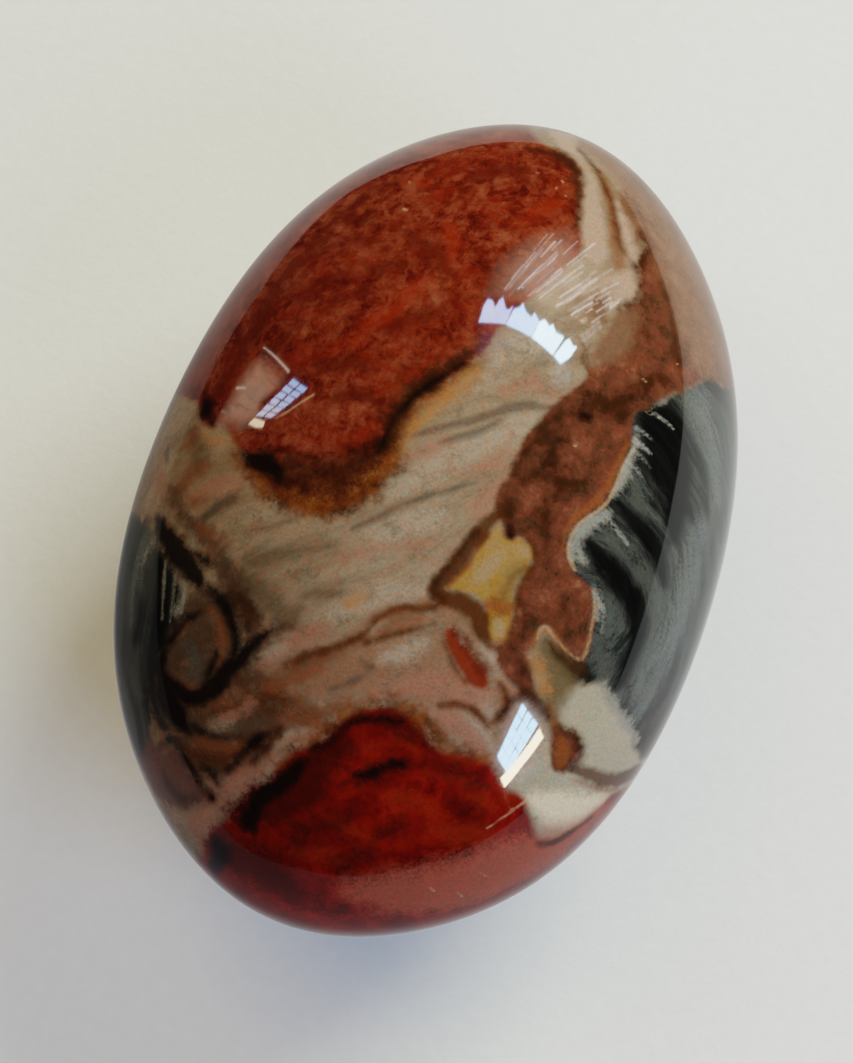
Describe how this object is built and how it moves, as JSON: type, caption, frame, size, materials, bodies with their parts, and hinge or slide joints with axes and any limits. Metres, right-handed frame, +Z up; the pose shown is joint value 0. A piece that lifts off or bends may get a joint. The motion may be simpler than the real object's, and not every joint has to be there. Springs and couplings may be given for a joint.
{
  "type": "polished polychrome jasper palm stone",
  "caption": "Egg-shaped polished jasper stone in brick red, cream, ochre and dark green-grey, to hold in the hand or set on a surface.",
  "frame": {"origin": "centre of the stone's bounding box in plan, on the surface that it rests on", "axes": "+Z up, +Y along the stone's long axis towards its slightly slimmer end, +X across it"},
  "size_m": [0.05, 0.0742, 0.04],
  "materials": {
    "jasper": "mirror-polished opaque jasper: brick red, cream, ochre brown and dark green-grey patches with fine dark and rusty outlines"
  },
  "bodies": {
    "root": {"polychrome_jasper": "jasper"}
  },
  "joints": []
}
